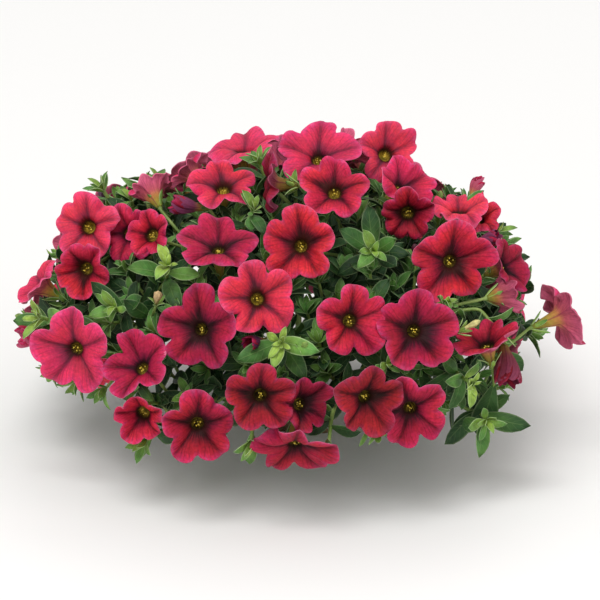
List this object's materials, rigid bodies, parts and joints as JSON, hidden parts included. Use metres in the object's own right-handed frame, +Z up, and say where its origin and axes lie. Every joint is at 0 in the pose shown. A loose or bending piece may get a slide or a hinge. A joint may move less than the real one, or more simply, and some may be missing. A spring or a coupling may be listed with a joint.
{
  "type": "calibrachoa plant in flower",
  "caption": "Rounded mound of crimson, scarlet and magenta trumpet blooms on arching leafy stems from one woody crown, cut at its base and resting on a surface.",
  "frame": {"origin": "middle of the flat cut under the crown, on the surface that the plant rests on", "axes": "+Z up along the crown, -Y towards the front of the mound, +X to its right seen from the front"},
  "size_m": [0.244, 0.2399, 0.1362],
  "materials": {
    "crown_bark": "rough, matte",
    "foliage": "soft satin, finely hairy",
    "petals_scarlet": "velvety, matte",
    "petals_crimson": "velvety, matte",
    "petals_magenta": "velvety, matte"
  },
  "bodies": {
    "root": {"crown": "crown_bark", "leafy_stem_01": "foliage", "leafy_stem_02": "foliage", "leafy_stem_03": "foliage", "leafy_stem_04": "foliage", "leafy_stem_05": "foliage", "leafy_stem_06": "foliage", "leafy_stem_07": "foliage", "leafy_stem_08": "foliage", "leafy_stem_09": "foliage", "leafy_stem_10": "foliage", "leafy_stem_11": "foliage", "leafy_stem_12": "foliage", "leafy_stem_13": "foliage", "bloom_01": "petals_scarlet", "bloom_02": "petals_magenta", "bloom_03": "petals_crimson", "bloom_04": "petals_crimson", "bloom_05": "petals_crimson", "bloom_07": "petals_crimson", "bloom_08": "petals_magenta", "bloom_09": "petals_magenta", "bloom_10": "petals_magenta", "bloom_12": "petals_crimson", "bloom_13": "petals_magenta", "bloom_14": "petals_scarlet", "bloom_15": "petals_scarlet", "bloom_18": "petals_magenta", "bloom_19": "petals_crimson", "bloom_20": "petals_crimson", "bloom_23": "petals_crimson", "bloom_26": "petals_scarlet", "bloom_27": "petals_crimson", "bloom_28": "petals_scarlet", "bloom_31": "petals_crimson", "bloom_32": "petals_magenta", "bloom_33": "petals_crimson", "bloom_34": "petals_magenta", "bloom_41": "petals_crimson", "bloom_43": "petals_crimson", "bloom_57": "petals_scarlet", "bloom_64": "petals_crimson", "bloom_65": "petals_scarlet", "bloom_72": "petals_magenta", "bloom_73": "petals_scarlet", "blooms_16": "petals_magenta", "blooms_21": "petals_scarlet", "blooms_24": "petals_crimson", "blooms_29": "petals_magenta", "blooms_35": "petals_scarlet", "blooms_40": "petals_magenta", "blooms_51": "petals_crimson", "blooms_53": "petals_magenta", "blooms_55": "petals_crimson", "blooms_58": "petals_magenta", "blooms_60": "petals_magenta", "blooms_62": "petals_crimson", "blooms_66": "petals_magenta", "blooms_68": "petals_scarlet", "blooms_70": "petals_crimson"}
  },
  "joints": []
}
